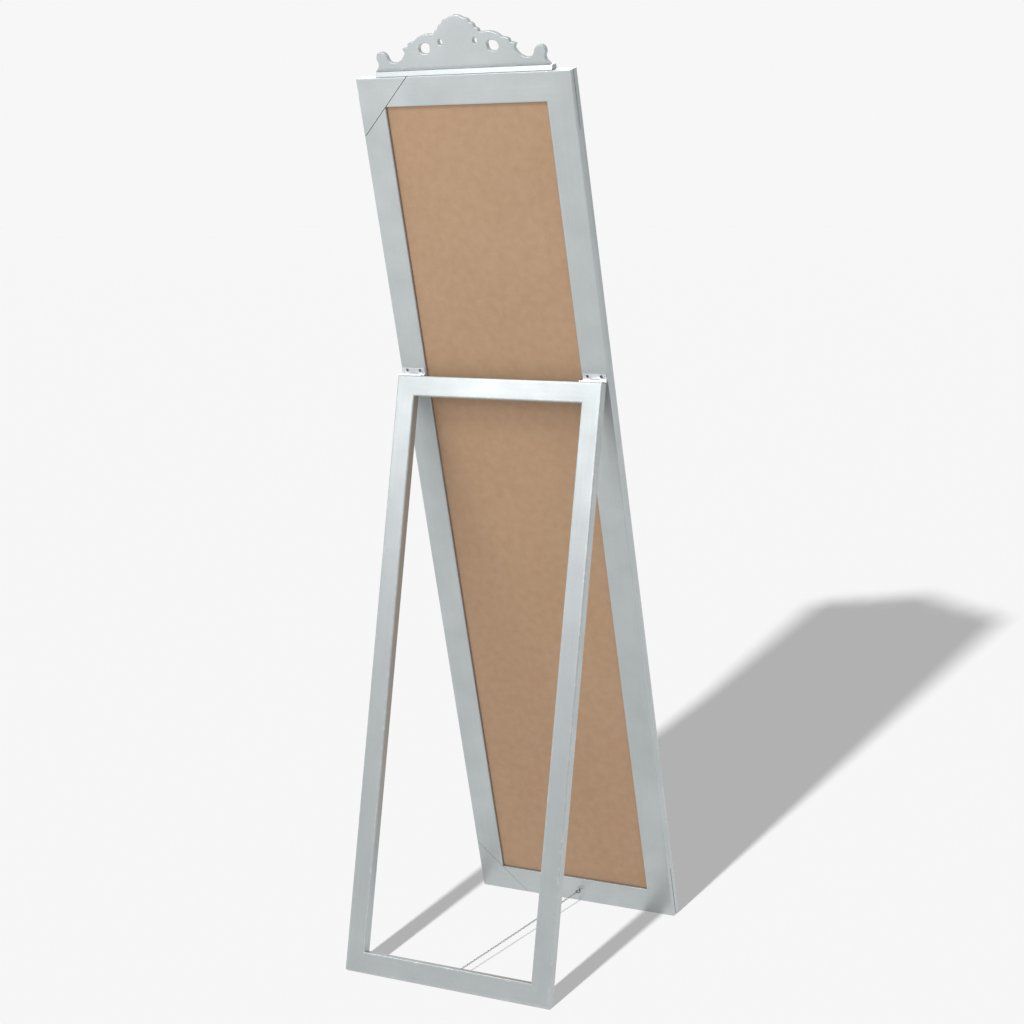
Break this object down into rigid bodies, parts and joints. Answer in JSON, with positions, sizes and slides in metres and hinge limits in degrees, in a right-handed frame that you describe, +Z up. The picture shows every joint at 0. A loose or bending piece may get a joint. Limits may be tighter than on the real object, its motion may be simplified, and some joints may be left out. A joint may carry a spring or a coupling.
{
  "type": "leaning floor mirror",
  "caption": "Full-length mirror in a silver moulded frame with a pierced carved crest, leaning on a hinged easel stand held open by a check chain.",
  "frame": {"origin": "on the floor under the middle of the object's box, with the stand open", "axes": "+Z up, -Y the way the glass faces, +X to the right of a person looking into the glass"},
  "size_m": [0.39, 0.5108, 1.5678],
  "materials": {
    "silver_painted_wood": "satin silver metallic paint on wood fibre board",
    "silver_painted_resin": "satin silver metallic paint on cast resin",
    "hardboard": "bare brown hardboard, smooth side out",
    "silvered_glass": "silvered float glass",
    "beech": "bare fluted dowel",
    "zinc_plated_steel": "bright zinc plate",
    "chain_steel": "nickel-plated steel chain"
  },
  "bodies": {
    "mirror": {"backing_board": "hardboard", "check_chain": "chain_steel", "corner_ornament_bottom_left": "silver_painted_resin", "corner_ornament_bottom_right": "silver_painted_resin", "corner_ornament_top_left": "silver_painted_resin", "corner_ornament_top_right": "silver_painted_resin", "corner_plate_bottom_left": "silver_painted_wood", "corner_plate_bottom_right": "silver_painted_wood", "corner_plate_top_left": "silver_painted_wood", "corner_plate_top_right": "silver_painted_wood", "crest": "silver_painted_wood", "crest_base": "silver_painted_wood", "crest_dowel_left": "beech", "crest_dowel_right": "beech", "crest_ornament": "silver_painted_resin", "frame_rail_bottom": "silver_painted_wood", "frame_rail_top": "silver_painted_wood", "frame_stile_left": "silver_painted_wood", "frame_stile_right": "silver_painted_wood", "hinge_leaf_upper_left": "zinc_plated_steel", "hinge_leaf_upper_right": "zinc_plated_steel", "hinge_pin_left": "zinc_plated_steel", "hinge_pin_right": "zinc_plated_steel", "hinge_screw_upper_left_inner": "zinc_plated_steel", "hinge_screw_upper_left_outer": "zinc_plated_steel", "hinge_screw_upper_right_inner": "zinc_plated_steel", "hinge_screw_upper_right_outer": "zinc_plated_steel", "mirror_glass": "silvered_glass", "screw_eye_mirror": "zinc_plated_steel"},
    "stand": {"hinge_leaf_lower_left": "zinc_plated_steel", "hinge_leaf_lower_right": "zinc_plated_steel", "hinge_screw_lower_left_inner": "zinc_plated_steel", "hinge_screw_lower_left_outer": "zinc_plated_steel", "hinge_screw_lower_right_inner": "zinc_plated_steel", "hinge_screw_lower_right_outer": "zinc_plated_steel", "screw_eye_stand": "zinc_plated_steel", "stand_dowel_bottom_left": "beech", "stand_dowel_bottom_right": "beech", "stand_dowel_top_left": "beech", "stand_dowel_top_right": "beech", "stand_rail_bottom": "silver_painted_wood", "stand_rail_top": "silver_painted_wood", "stand_stile_left": "silver_painted_wood", "stand_stile_right": "silver_painted_wood"}
  },
  "joints": [
    {"name": "stand_hinge", "type": "hinge", "parent": "mirror", "child": "stand", "pos_m": [0, 0.022, 0.98489], "axis": [1, 0, 0], "range_deg": [-25.8, 0], "deforming": ["check_chain"]}
  ]
}
